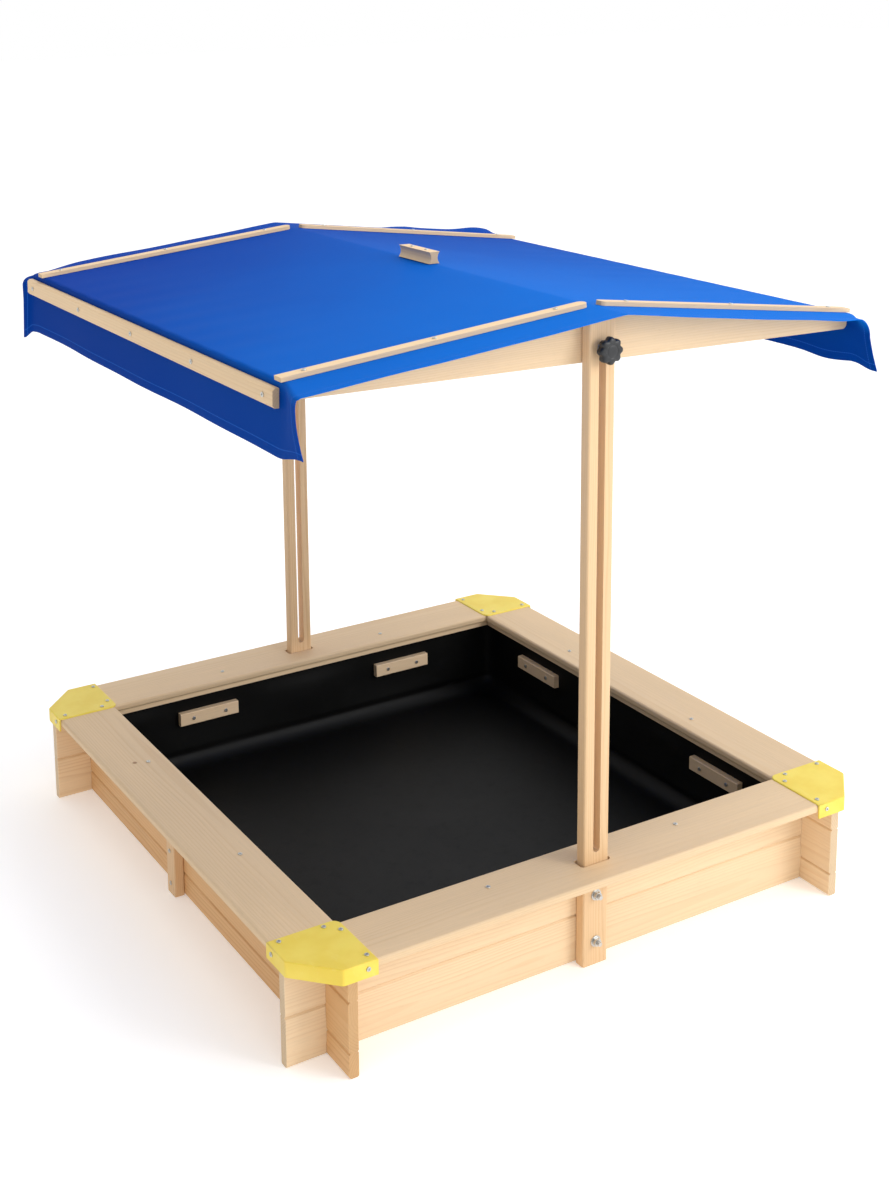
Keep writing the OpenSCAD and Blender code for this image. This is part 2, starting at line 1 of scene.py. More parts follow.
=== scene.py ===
import bpy
import bmesh
import json
import math
from mathutils import Matrix, Vector, noise

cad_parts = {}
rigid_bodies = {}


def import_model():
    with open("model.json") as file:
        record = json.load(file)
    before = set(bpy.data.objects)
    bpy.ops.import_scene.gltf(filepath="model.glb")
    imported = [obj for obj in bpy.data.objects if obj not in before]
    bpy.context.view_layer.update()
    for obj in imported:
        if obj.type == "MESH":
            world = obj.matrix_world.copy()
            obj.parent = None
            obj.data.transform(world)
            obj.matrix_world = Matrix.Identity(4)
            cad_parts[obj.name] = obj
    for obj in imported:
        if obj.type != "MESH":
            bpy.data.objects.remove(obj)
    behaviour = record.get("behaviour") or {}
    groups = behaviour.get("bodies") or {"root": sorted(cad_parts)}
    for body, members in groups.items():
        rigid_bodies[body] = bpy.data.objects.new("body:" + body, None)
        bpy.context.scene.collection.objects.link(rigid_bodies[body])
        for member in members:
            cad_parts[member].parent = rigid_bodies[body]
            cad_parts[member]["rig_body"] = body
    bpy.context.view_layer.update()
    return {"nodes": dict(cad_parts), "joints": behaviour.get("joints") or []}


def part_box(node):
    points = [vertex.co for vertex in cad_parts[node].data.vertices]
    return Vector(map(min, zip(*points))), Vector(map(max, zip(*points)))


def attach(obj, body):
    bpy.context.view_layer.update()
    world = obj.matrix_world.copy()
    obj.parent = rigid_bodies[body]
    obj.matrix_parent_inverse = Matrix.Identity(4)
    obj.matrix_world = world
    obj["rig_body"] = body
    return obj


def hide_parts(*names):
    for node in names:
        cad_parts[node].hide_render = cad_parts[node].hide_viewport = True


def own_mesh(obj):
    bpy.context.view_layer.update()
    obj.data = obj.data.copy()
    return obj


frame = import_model()
print("frame loaded:", len(frame["nodes"]), "nodes")

scene = bpy.context.scene
scene.view_settings.view_transform = "Standard"


# small helpers
def only(obj):
    bpy.ops.object.select_all(action="DESELECT")
    obj.select_set(True)
    bpy.context.view_layer.objects.active = obj


def named(name):
    obj = bpy.context.object
    obj.name = name
    obj.data.name = name
    return obj


def apply(obj, kind, **settings):
    only(obj)
    modifier = obj.modifiers.new(kind.title(), kind)
    for key, value in settings.items():
        setattr(modifier, key, value)
    bpy.ops.object.modifier_apply(modifier=modifier.name)


def bake(obj):
    # puts the object's place into its mesh
    only(obj)
    bpy.ops.object.transform_apply(location=True, rotation=True, scale=True)


def smooth(obj, degrees=32):
    only(obj)
    bpy.ops.object.shade_smooth_by_angle(angle=math.radians(degrees))


def meshObject(name, bm):
    data = bpy.data.meshes.new(name)
    bm.to_mesh(data)
    bm.free()
    obj = bpy.data.objects.new(name, data)
    scene.collection.objects.link(obj)
    return obj


def joined(parts, name):
    # the first part's object keeps its settings; the rest are joined into it
    bpy.ops.object.select_all(action="DESELECT")
    for part in parts:
        part.select_set(True)
    bpy.context.view_layer.objects.active = parts[0]
    if len(parts) > 1:
        bpy.ops.object.join()
    return named(name)


def copies(template, name, places):
    # one joined piece made of copies of the template, each with its own mesh
    made = []
    for place in places:
        one = template.copy()
        one.data = template.data.copy()
        one.matrix_world = place
        scene.collection.objects.link(one)
        made.append(one)
    piece = joined(made, name)
    bake(piece)
    return piece


def finishPiece(piece, body, look, slot, *nodes):
    piece.data.materials.clear()
    piece.data.materials.append(look)
    if nodes:
        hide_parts(*nodes)
    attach(piece, body)
    return piece


def extent(points):
    low = Vector([min(point[i] for point in points) for i in range(3)])
    high = Vector([max(point[i] for point in points) for i in range(3)])
    return low, high


def camel(node):
    words = node.split("_")
    return words[0] + "".join(word.title() for word in words[1:])


def ease(t):
    t = min(1.0, max(0.0, t))
    return t * t * (3 - 2 * t)


def srgb(text):
    # a colour written as on screen, in linear light
    parts = [int(text[i:i + 2], 16) / 255 for i in (0, 2, 4)]
    linear = [c / 12.92 if c <= 0.04045 else ((c + 0.055) / 1.055) ** 2.4 for c in parts]
    return tuple(linear) + (1.0,)


# shader maths: expressions on values add their Math nodes
class Value:
    def __init__(self, look, socket):
        self.look = look
        self.socket = socket

    def math(self, operation, other=0.0, third=0.0):
        return self.look.add("Math", {"operation": operation}, {0: self, 1: other, 2: third})

    def __add__(self, other):
        return self.math("ADD", other)

    def __sub__(self, other):
        return self.math("SUBTRACT", other)

    def __mul__(self, other):
        return self.math("MULTIPLY", other)

    def __truediv__(self, other):
        return self.math("DIVIDE", other)

    def __rsub__(self, other):
        return self.look.add("Math", {"operation": "SUBTRACT"}, {0: other, 1: self})

    def __rtruediv__(self, other):
        return self.look.add("Math", {"operation": "DIVIDE"}, {0: other, 1: self})

    __radd__ = __add__
    __rmul__ = __mul__

    def between(self, low, high):
        # 0 below low, 1 above high, smooth between
        settings = {"interpolation_type": "SMOOTHSTEP"}
        values = {"Value": self, "From Min": low, "From Max": high}
        return self.look.add("MapRange", settings, values)

    def part(self, name):
        return Value(self.look, self.socket.node.outputs[name])


class Look:
    def __init__(self, name):
        self.material = bpy.data.materials.new(name)
        self.material.use_nodes = True
        self.tree = self.material.node_tree
        self.shader = self.tree.nodes["Principled BSDF"]

    def plug(self, value, target):
        if isinstance(value, Value):
            self.tree.links.new(value.socket, target)
        else:
            target.default_value = value

    def add(self, kind, settings=None, values=None, output=0):
        node = self.tree.nodes.new("ShaderNode" + kind)
        for key, value in (settings or {}).items():
            if key == "stops":
                ramp = node.color_ramp
                while len(ramp.elements) < len(value):
                    ramp.elements.new(0.5)
                for element, (position, colour) in zip(ramp.elements, value):
                    element.position = position
                    element.color = colour
            else:
                setattr(node, key, value)
        for key, value in (values or {}).items():
            self.plug(value, node.inputs[key])
        return Value(self, node.outputs[output])

    def point(self, output="Object", location=(0, 0, 0), rotation=(0, 0, 0), scale=(1, 1, 1)):
        source = self.add("TexCoord", output=output)
        values = {"Vector": source, "Location": location, "Rotation": rotation, "Scale": scale}
        return self.add("Mapping", None, values)

    def scaled(self, vector, scale):
        return self.add("Mapping", None, {"Vector": vector, "Scale": scale})

    def noise(self, vector, scale=1.0, detail=2.0, roughness=0.5):
        values = {"Vector": vector, "Scale": scale, "Detail": detail, "Roughness": roughness}
        return self.add("TexNoise", None, values)

    def mix(self, factor, first, second, blend="MIX"):
        settings = {"data_type": "RGBA", "blend_type": blend}
        return self.add("Mix", settings, {"Factor": factor, 6: first, 7: second}, output=2)

    def grey(self, value):
        # a number as a colour, for multiplying colours
        return self.add("CombineColor", None, {0: value, 1: value, 2: value})

    def bump(self, height, distance, strength=1.0):
        values = {"Height": height, "Distance": distance, "Strength": strength}
        self.plug(self.add("Bump", None, values), self.shader.inputs["Normal"])

    def set(self, **sockets):
        for name, value in sockets.items():
            words = "".join(" " + c if c.isupper() and i else c for i, c in enumerate(name))
            words = words.replace("I O R", "IOR")
            self.plug(value, self.shader.inputs[words])


# wood
grainTurn = {"x": (0, 0, 0), "y": (0, 0, math.radians(-90)), "z": (0, math.radians(90), 0)}
woodTones = {
    "wall": {"light": "ecd0aa", "dark": "d3a877", "ring": 0.42, "spacing": 0.0042},
    # the left planks' wood, darker and more orange than the wall wood: painted shade
    "paintedShadeWall": {"light": "e0b480", "dark": "c18a50", "ring": 0.42, "spacing": 0.0045},
    "seat": {"light": "e0c39c", "dark": "c79f72", "ring": 0.26, "spacing": 0.0036},
    "post": {"light": "e3c095", "dark": "c99b68", "ring": 0.40, "spacing": 0.0034},
    "canopy": {"light": "e6c8a0", "dark": "cfa674", "ring": 0.38, "spacing": 0.0036},
    # the cleat wood is lighter than the wall wood: painted light against the shade where it sits
    "cleat": {"light": "f3d5ae", "dark": "dcb488", "ring": 0.30, "spacing": 0.0032},
}


def woodLook(name, tone, axis, pith, knots=()):
    # pith is how far the middle of the tree lies from the piece, across the grain
    settings = woodTones[tone]
    look = Look(name)
    place = look.point(rotation=grainTurn[axis], location=(pith[0], pith[1], pith[2]))
    across = look.add("SeparateXYZ", None, {0: place})
    warp = look.noise(look.scaled(place, (0.9, 6, 6)), 1.0, 3.0) - 0.5
    slow = look.noise(look.scaled(place, (1.6, 9, 9)), 1.0, 2.0)
    y = across.part("Y") + warp * 0.030
    z = across.part("Z") + warp * 0.012
    radius = (y * y + z * z).math("SQRT")
    rings = (radius / settings["spacing"] + slow * 1.6).math("FRACT")
    stops = [(0.0, (0, 0, 0, 1)), (0.5, (0.12, 0.12, 0.12, 1)), (0.84, (1, 1, 1, 1)),
             (0.93, (0.9, 0.9, 0.9, 1)), (1.0, (0, 0, 0, 1))]
    late = look.add("ValToRGB", {"stops": stops}, {0: rings})
    fibre = look.noise(look.scaled(place, (9, 330, 330)), 1.0, 3.0, 0.6)
    fleck = look.noise(look.scaled(place, (70, 900, 900)), 1.0, 1.0).between(0.62, 0.75)
    strength = look.noise(look.scaled(place, (1.1, 12, 12)), 1.0, 1.0).between(0.25, 0.75)
    amount = late * (strength * 0.7 + 0.3) * settings["ring"]
    light = srgb(settings["light"])
    dark = srgb(settings["dark"])
    colour = look.mix(amount, light, dark)
    shade = (slow - 0.5) * 0.22 + (fibre - 0.5) * 0.16 - fleck * 0.06 + 1.0
    facing = look.add("Attribute", {"attribute_name": "endGrain"}, output="Fac")
    shade = shade * (1 - facing * 0.22)
    for spot in knots:
        ends = {0: look.point(), 1: spot[:3]}
        away = look.add("VectorMath", {"operation": "DISTANCE"}, ends, output="Value")
        eye = 1 - away.between(spot[3] * 0.45, spot[3])
        colour = look.mix(eye * 0.75, colour, srgb("8a5a34"))
    colour = look.mix(1.0, colour, look.grey(shade), "MULTIPLY")
    look.set(BaseColor=colour, Roughness=fibre * 0.18 + 0.44 + late * 0.05, SpecularIORLevel=0.35)
    look.bump(fibre * 0.5 + late * 0.35 - fleck * 0.5, 0.00025, 0.5)
    return look.material


def metalLook(name, tint, rough):
    look = Look(name)
    place = look.point()
    cloud = look.noise(place, 260.0, 3.0)
    scratch = look.noise(look.scaled(place, (300, 4000, 4000)), 1.0, 2.0)
    colour = look.mix(cloud * 0.35, srgb(tint), srgb("8f8c84"))
    look.set(BaseColor=colour, Metallic=1.0, Roughness=cloud * 0.16 + scratch * 0.08 + rough)
    look.bump(scratch, 0.00004, 0.4)
    return look.material


def capLook():
    # moulded plastic with a fine spark-eroded grain
    look = Look("capPlastic")
    place = look.point()
    grain = look.noise(place, 1500.0, 2.0)
    cloud = look.noise(place, 22.0, 2.0)
    scuff = look.noise(look.scaled(place, (90, 26, 60)), 1.0, 4.0).between(0.60, 0.78)
    colour = look.mix(cloud.between(0.3, 0.7), srgb("edd04b"), srgb("f2d95c"))
    colour = look.mix(scuff * 0.25, colour, srgb("f6e794"))
    look.set(BaseColor=colour, Roughness=grain * 0.10 + scuff * 0.10 + 0.36, SpecularIORLevel=0.45)
    look.set(SubsurfaceWeight=0.08, SubsurfaceScale=0.003)
    look.bump(grain, 0.00008, 0.5)
    return look.material


def knobLook():
    look = Look("knobPlastic")
    place = look.point()
    grain = look.noise(place, 2600.0, 2.0)
    cloud = look.noise(place, 60.0, 2.0)
    look.set(BaseColor=look.mix(cloud, srgb("17181a"), srgb("222427")))
    look.set(Roughness=grain * 0.14 + 0.34)
    look.bump(grain, 0.00006, 0.6)
    return look.material


def linerLook():
    # woven membrane: flat tapes crossing every 2 mm
    look = Look("linerSheet")
    place = look.point()
    cell = look.scaled(place, (480, 480, 480))
    parts = look.add("SeparateXYZ", None, {0: cell})
    warpTape = (parts.part("X") * 2 * math.pi).math("SINE")
    weftTape = (parts.part("Y") * 2 * math.pi + parts.part("Z") * 2 * math.pi).math("SINE")
    weave = warpTape * weftTape
    cloud = look.noise(place, 7.0, 4.0)
    dust = look.noise(place, 40.0, 5.0, 0.7).between(0.5, 0.8)
    colour = look.mix(cloud, srgb("080808"), srgb("0f0f0e"))
    colour = look.mix(dust * 0.22, colour, srgb("1d1c1a"))
    look.set(BaseColor=colour, Roughness=cloud * 0.12 + 0.42 + dust * 0.10, SpecularIORLevel=0.15)
    look.bump(weave * 0.5 + cloud * 6.0, 0.00025, 0.35)
    return look.material


def fabricLook(cloth):
    # plain-woven coated polyester, with a sewn line along every hem
    look = Look("canopyFabric")
    uv = look.add("TexCoord", output="UV")
    parts = look.add("SeparateXYZ", None, {0: uv})
    u = parts.part("X")
    v = parts.part("Y")
    threads = 2 * math.pi / cloth["thread"]
    warpWave = (u * threads).math("SINE")
    weftWave = (v * threads).math("SINE")
    weave = warpWave * weftWave
    slubWeft = look.noise(look.scaled(uv, (900, 60, 1)), 1.0, 2.0)
    slub = look.noise(look.scaled(uv, (60, 900, 1)), 1.0, 2.0) + slubWeft
    cloud = look.noise(look.scaled(uv, (5, 5, 1)), 1.0, 3.0)
    pitch = 2 * math.pi / cloth["stitch"]

    def seam(along, away):
        line = 1 - away.math("ABSOLUTE").between(0.0004, 0.0011)
        dash = (along * pitch).math("SINE").between(-0.55, -0.2)
        return line * dash, line

    near = cloth["halfLength"] - cloth["hem"] + 0.002
    stitchV, grooveV = seam(u, v.math("ABSOLUTE") - near)
    hemLeft = cloth["leftReach"] - cloth["hem"] + 0.002
    hemRight = cloth["rightReach"] - cloth["hem"] + 0.002
    stitchL, grooveL = seam(v, u + hemLeft)
    stitchR, grooveR = seam(v, u - hemRight)
    stitch = stitchV.math("MAXIMUM", stitchL.math("MAXIMUM", stitchR))
    groove = grooveV.math("MAXIMUM", grooveL.math("MAXIMUM", grooveR))
    # painted light and shade: lighter towards the front and the ridge, darker towards the back and
    # the left eave, with a little random tone, and painted shade down the valances
    paintedLightShare = v * -0.55 + u.math("MINIMUM", 0.0) * 0.45 + (cloud - 0.5) * 0.12 + 0.62
    colour = look.mix(paintedLightShare.between(0.1, 1.0), srgb(cloth["deep"]), srgb(cloth["colour"]))
    # painted shade on the valances
    valancePaintedShade = u.math("ABSOLUTE").between(cloth["slopeLength"] - 0.012, cloth["slopeLength"] + 0.02)
    colour = look.mix(valancePaintedShade * 0.85, colour, srgb(cloth["shaded"]))
    shade = (slub - 1.0) * 0.12 + weave * 0.03 + 1.0
    colour = look.mix(1.0, colour, look.grey(shade), "MULTIPLY")
    colour = look.mix(stitch * 0.7, colour, srgb("2f6fd6"))
    look.set(BaseColor=colour, Roughness=slub * 0.08 + 0.52, SpecularIORLevel=0.02)
    look.bump(weave * 0.25 + slub * 0.3 + stitch * 1.4 - groove * 0.8, 0.0004, 0.35)
    return look.material


zinc = metalLook("zinc", "d5d6d4", 0.24)
capPlastic = capLook()
print("looks made")

# the canopy's own level frame: it hangs tilted about its clamp bolts
joints = {joint["name"]: joint for joint in frame["joints"]}
boltPoint = Vector(joints["canopy_tilt"]["pos_m"])
lean = -math.radians(sum(joints["canopy_tilt"]["range_deg"]) / 2)
tilt = Matrix.Rotation(lean, 4, "Y")
tilt = Matrix.Translation(boltPoint) @ tilt @ Matrix.Translation(-boltPoint)


def levelBox(node):
    level = tilt.inverted()
    return extent([level @ vertex.co for vertex in frame["nodes"][node].data.vertices])


# canopy cover: one sheet over the ridge, with a valance at each eave
cloth = {
    # colour is the lit end of the fabric's painted light; the next is its painted shade, and shaded
    # is the painted shade on the valances
    "colour": "006ace",
    "deep": "003a9b",
    "shaded": "00378f",
    "thread": 0.0011,
    "stitch": 0.0042,
    "hem": 0.016,
    "thickness": 0.0008,
    "hemThickness": 0.0013,
    "ridgeRound": 0.003,
    "foldRound": 0.0025,
    "cornerRound": {"nearLeft": 0.004, "nearRight": 0.036, "farLeft": 0.016, "farRight": 0.020},
    "dropLeft": 0.085,
    "dropRight": 0.056,
    "sag": 0.004,
    "squashKeep": 0.16,
    "flapKeep": 0.004,
    "coverDrop": 0.024,
    "rowStep": 0.010,
    "waving": {"nearLeft": 0.0005, "nearRight": 0.0008, "farLeft": 0.0010, "farRight": 0.0},
    # each corner: out at the fold and at the hem; back at the fold, at the hem and between;
    # droop; hem lift
    "corners": {
        "nearLeft": (0.021, 0.004, 0.0, 0.003, 0.015, 0.0, 0.020),
        "nearRight": (0.0, 0.006, 0.026, 0.006, 0.0, 0.0, 0.008),
        "farLeft": (0.012, 0.008, 0.004, 0.004, 0.0, 0.010, -0.006),
        "farRight": (0.006, 0.004, 0.004, 0.012, 0.010, 0.0, 0.0),
    },
}
slopeLow, slopeHigh = levelBox("sheet_right")
beamLow = levelBox("beam_front")[0]
overHigh = levelBox("overhangs")[1]
eaveX = (levelBox("valance_right")[0].x + levelBox("valance_right")[1].x) / 2
eaveBattens = (levelBox("eave_batten_left")[0].y, levelBox("eave_batten_left")[1].y)
cloth["halfLength"] = overHigh.y
cloth["beamFace"] = slopeHigh.y
cloth["flapHalf"] = levelBox("flap_front")[1].x + 0.0001
slopeFall = (slopeHigh.z - slopeLow.z) / slopeHigh.x * 0.976
ridgeZ = slopeHigh.z - 0.0008
beamZ = beamLow.z
slopeLength = math.hypot(eaveX, eaveX * slopeFall)
cloth["slopeLength"] = slopeLength
cloth["leftReach"] = slopeLength + ridgeZ - slopeFall * eaveX - beamZ + cloth["dropLeft"]
cloth["rightReach"] = slopeLength + ridgeZ - slopeFall * eaveX - beamZ + cloth["dropRight"]
flatWidth = cloth["leftReach"] + cloth["rightReach"]
flatLength = 2 * cloth["halfLength"]


def cornerName(side, y):
    return ("near" if y < 0 else "far") + ("Left" if side < 0 else "Right")


def foldRadius(side, y):
    past = abs(y) - cloth["beamFace"] - 0.004
    free = ease(past / (cloth["halfLength"] - cloth["beamFace"]) * 1.2)
    grown = cloth["cornerRound"][cornerName(side, y)] - cloth["foldRound"]
    return cloth["foldRound"] + grown * free


def sectionPoint(side, s, y):
    # x and z at the distance s from the ridge, and how far down the valance it is, in metres
    radius = foldRadius(side, y)
    angle = math.pi / 2 - math.atan(slopeFall)
    trim = radius * math.tan(angle / 2)
    toFold = slopeLength - trim
    arc = radius * angle
    eaveZ = ridgeZ - slopeFall * eaveX
    if s <= toFold:
        x = s / slopeLength * eaveX
        round_ = cloth["ridgeRound"]
        return side * x, ridgeZ - slopeFall * (math.hypot(x, round_) - round_), 0.0
    if s <= toFold + arc:
        turn = (s - toFold) / radius
        pitch = math.atan(slopeFall)
        cx = toFold / slopeLength * eaveX - radius * math.sin(pitch)
        cz = ridgeZ - slopeFall * toFold / slopeLength * eaveX - radius * math.cos(pitch)
        x = cx + radius * math.sin(pitch + turn)
        return side * x, cz + radius * math.cos(pitch + turn), 0.0
    down = s - toFold - arc
    return side * eaveX, eaveZ - trim - down, down


def clothPoint(u, v):
    side = -1 if u < 0 else 1
    s = abs(u)
    x, z, down = sectionPoint(side, s, v)
    y = v
    free = ease((abs(v) - cloth["beamFace"]) / (cloth["halfLength"] - cloth["beamFace"]))
    corner = cornerName(side, v)
    across = abs(x) / eaveX
    if down == 0.0 and abs(v) < cloth["beamFace"]:
        span = 1 - (v / cloth["beamFace"]) ** 2
        z -= cloth["sag"] * span * math.sin(math.pi * min(1, across)) ** 2
        pucker = math.exp(-(1 - across) * eaveX / 0.10) - math.exp(-(1 - across) * eaveX / 0.02)
        z += 0.0011 * pucker * span * math.sin(2 * math.pi * (v / 0.083 + 0.2 * side))
        ripple = noise.noise(Vector((x * 3.0, v * 9.0, 4.0)))
        z += 0.0010 * span * ripple * math.sin(math.pi * min(1, across))
    if corner == "farRight":
        lift = 0.0042 * ease((x - 0.26) / 0.05) + 0.0015 * math.exp(-((x - 0.335) / 0.02) ** 2)
        lift += 0.0085 * math.exp(-((x - 0.52) / 0.045) ** 2)
        z += free * lift * (1 - ease(down / 0.05))
    else:
        z -= 0.0022 * free * ease(across * 3)
    waving = cloth["waving"][corner]
    z += waving * free * math.sin(x * 31 + (1.0 if v > 0 else 2.2)) * across
    hang = max(0.0, down - 0.030)
    reach = hang / 0.085
    if hang > 0:
        wave = math.sin(v * 10.5 + 0.6) * 0.5 + math.sin(v * 23 + 2.0) * 0.3
        x += side * reach * 0.0035 * (1 + wave)
    total = cloth["dropLeft"] if side < 0 else cloth["dropRight"]
    share = min(1.0, down / (total + 0.03))
    # past the eave batten's end the corner stands off, hangs back and lifts at its hem
    batten = eaveBattens[0] if v < 0 else eaveBattens[1]
    loose = ease((abs(v) - abs(batten) - 0.002) / (cloth["halfLength"] - abs(batten) - 0.004))
    flare, hemFlare, back, hemBack, belly, droop, hemLift = cloth["corners"][corner]
    near = ease((across - 0.80) / 0.20)
    out = (flare + (hemFlare - flare) * share) * loose * (near if down == 0.0 else 1.0)
    x += side * out
    if down == 0.0:
        z -= slopeFall * out
    z -= droop * loose * near
    z += hemLift * loose * share ** 2
    inward = back + (hemBack - back) * share + belly * math.sin(math.pi * share ** 0.6)
    y -= math.copysign(inward * free * (near if down == 0.0 else 1.0), v)
    if side > 0:
        z -= 0.006 * math.exp(-((v + 0.467) / 0.045) ** 2) * share
    return tilt @ Vector((x, y, z))


def stations():
    # distances from the ridge, and along it, at which the sheet has rows
    slope = [0.0, 0.004, 0.009, 0.016, cloth["flapHalf"]]
    while slope[-1] < slopeLength - 0.04:
        slope.append(slope[-1] + 0.0125)
    fold = [slopeLength - 0.030 + 0.003 * i for i in range(19)]
    slope = [s for s in slope if s < fold[0] - 0.002] + fold
    rows = {}
    for side, reach in ((-1, cloth["leftReach"]), (1, cloth["rightReach"])):
        line = list(slope)
        while line[-1] < reach - cloth["hem"] - 0.010:
            line.append(line[-1] + 0.0085)
        hem = reach - cloth["hem"]
        line += [hem, hem + 0.0012, reach - 0.008, reach - 0.0015, reach]
        rows[side] = line
    start = -cloth["halfLength"]
    along = [start, start + 0.0015, start + 0.008]
    along += [start + cloth["hem"] - 0.0012, start + cloth["hem"]]
    while along[-1] < -cloth["beamFace"] - 0.012:
        along.append(along[-1] + 0.008)
    along.append(-cloth["beamFace"])
    steps = int(2 * cloth["beamFace"] / cloth["rowStep"])
    along += [-cloth["beamFace"] + 2 * cloth["beamFace"] * i / steps for i in range(1, steps)]
    along += [-y for y in reversed([a for a in along if a <= -cloth["beamFace"]])]
    return rows, along


rowsAcross, rowsAlong = stations()
acrossAll = [-s for s in reversed(rowsAcross[-1])] + rowsAcross[1][1:]
valanceStart = slopeLength + cloth["coverDrop"]


def coverPart(name, keep):
    bm = bmesh.new()
    uvLayer = bm.loops.layers.uv.new("UVMap")
    weights = bm.verts.layers.deform.new()
    grid = {}
    for i, u in enumerate(acrossAll):
        for j, v in enumerate(rowsAlong):
            grid[i, j] = (u, v)
    verts = {}

    def vertex(i, j):
        if (i, j) not in verts:
            u, v = grid[i, j]
            vert = bm.verts.new(clothPoint(u, v))
            reach = cloth["leftReach"] if u < 0 else cloth["rightReach"]
            edge = min(cloth["halfLength"] - abs(v), reach - abs(u))
            plain = cloth["thickness"] / cloth["hemThickness"]
            vert[weights][0] = 1.0 if edge < cloth["hem"] - 0.0006 else plain
            verts[i, j] = vert
        return verts[i, j]

    for i in range(len(acrossAll) - 1):
        for j in range(len(rowsAlong) - 1):
            middleU = (acrossAll[i] + acrossAll[i + 1]) / 2
            middleV = (rowsAlong[j] + rowsAlong[j + 1]) / 2
            if not keep(middleU, middleV):
                continue
            corners = [(i, j), (i + 1, j), (i + 1, j + 1), (i, j + 1)]
            face = bm.faces.new([vertex(*corner) for corner in corners])
            face.smooth = True
            for loop, corner in zip(face.loops, corners):
                loop[uvLayer].uv = grid[corner]
    piece = meshObject(name, bm)
    piece.vertex_groups.new(name="hem")
    apply(piece, "SOLIDIFY", thickness=cloth["hemThickness"], offset=0, vertex_group="hem",
          use_rim=True)
    smooth(piece, 50)
    return piece


def isFlap(u, v):
    return abs(u) < cloth["flapHalf"] and abs(v) > cloth["beamFace"]


fabric = fabricLook(cloth)
cover = coverPart("canopyCover", lambda u, v: abs(u) < valanceStart and not isFlap(u, v))
finishPiece(cover, "canopy", fabric, "canopy_fabric", "sheet_left", "sheet_right", "overhangs")
valances = {}
for side, node in ((-1, "valance_left"), (1, "valance_right")):
    piece = coverPart("valanceLeft" if side < 0 else "valanceRight",
                      lambda u, v, side=side: u * side > valanceStart)
    finishPiece(piece, "canopy", fabric, "canopy_fabric", node)
    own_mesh(piece)
    valances[side] = piece
flaps = {}
for end, node in ((-1, "flap_front"), (1, "flap_back")):
    piece = coverPart("flapFront" if end < 0 else "flapBack",
                      lambda u, v, end=end: isFlap(u, v) and v * end > 0)
    finishPiece(piece, "canopy", fabric, "canopy_fabric", node)
    end * cloth["beamFace"]
    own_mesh(piece)
    flaps[end] = piece
coverFlat = 2 * valanceStart
flapArea = 4 * cloth["flapHalf"] * (cloth["halfLength"] - cloth["beamFace"])
coverFlat * flatLength - flapArea
for side, piece in valances.items():
    reach = cloth["leftReach"] if side < 0 else cloth["rightReach"]
    reach - valanceStart
for piece in flaps.values():
    2 * cloth["flapHalf"]
    cloth["halfLength"] - cloth["beamFace"]
print("canopy cover made,", round(flatWidth, 3), "by", round(flatLength, 3))

# liner: one sheet, its floor on the ground and its walls against the planks
liner = {
    "thickness": 0.0009,
    "cove": 0.034,
    "cornerRound": 0.022,
    "floorRings": 26,
    "sideSteps": 44,
    "cornerSteps": 8,
    "wallSteps": 16,
    "coveSteps": 9,
}


def linerSheet():
    low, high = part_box("liner_front")
    half = high.x - liner["thickness"] / 2 - 0.0001
    top = high.z
    profile = []
    steps = liner["wallSteps"]
    floorZ = liner["thickness"] / 2 + 0.0001
    for i in range(steps + 1):
        profile.append((0.0, top - (top - floorZ - liner["cove"]) * i / steps, 1.0))
    bend = liner["coveSteps"]
    for i in range(1, bend + 1):
        angle = math.pi / 2 * i / bend
        profile.append((liner["cove"] * (1 - math.cos(angle)),
                        floorZ + liner["cove"] * (1 - math.sin(angle)), 1 - i / bend))
    rings = liner["floorRings"]
    for i in range(1, rings + 1):
        share = i / rings
        profile.append((liner["cove"] + (half - liner["cove"] - 0.004) * share, floorZ, 0.0))
    bm = bmesh.new()
    loops = []
    for inset, z, wall in profile:
        size = half - inset
        radius = min(size * 0.9, liner["cornerRound"] + inset * 0.4)
        ring = []
        for quarter in range(4):
            turn = Matrix.Rotation(math.pi / 2 * quarter, 3, "Z")
            straight = size - radius
            for i in range(liner["sideSteps"]):
                along = -straight + 2 * straight * i / liner["sideSteps"]
                ring.append(turn @ Vector((size, along, z)))
            for i in range(liner["cornerSteps"]):
                angle = math.pi / 2 * i / liner["cornerSteps"]
                x = straight + radius * math.cos(angle)
                y = straight + radius * math.sin(angle)
                ring.append(turn @ Vector((x, y, z)))
        loops.append([bm.verts.new(linerPlace(point, wall, half)) for point in ring])
    count = len(loops[0])
    for first, second in zip(loops, loops[1:]):
        for i in range(count):
            j = (i + 1) % count
            bm.faces.new((first[i], first[j], second[j], second[i])).smooth = True
    bm.faces.new(loops[-1]).smooth = True
    bmesh.ops.recalc_face_normals(bm, faces=bm.faces)
    piece = meshObject("linerSheet", bm)
    if sum(face.normal.z for face in piece.data.polygons) < 0:
        piece.data.flip_normals()
    apply(piece, "SOLIDIFY", thickness=liner["thickness"], offset=0)
    smooth(piece, 60)
    return piece, half, top


cleatPlaces = {"x": 0.244, "y": 0.292, "half": 0.0685, "z": 0.111}


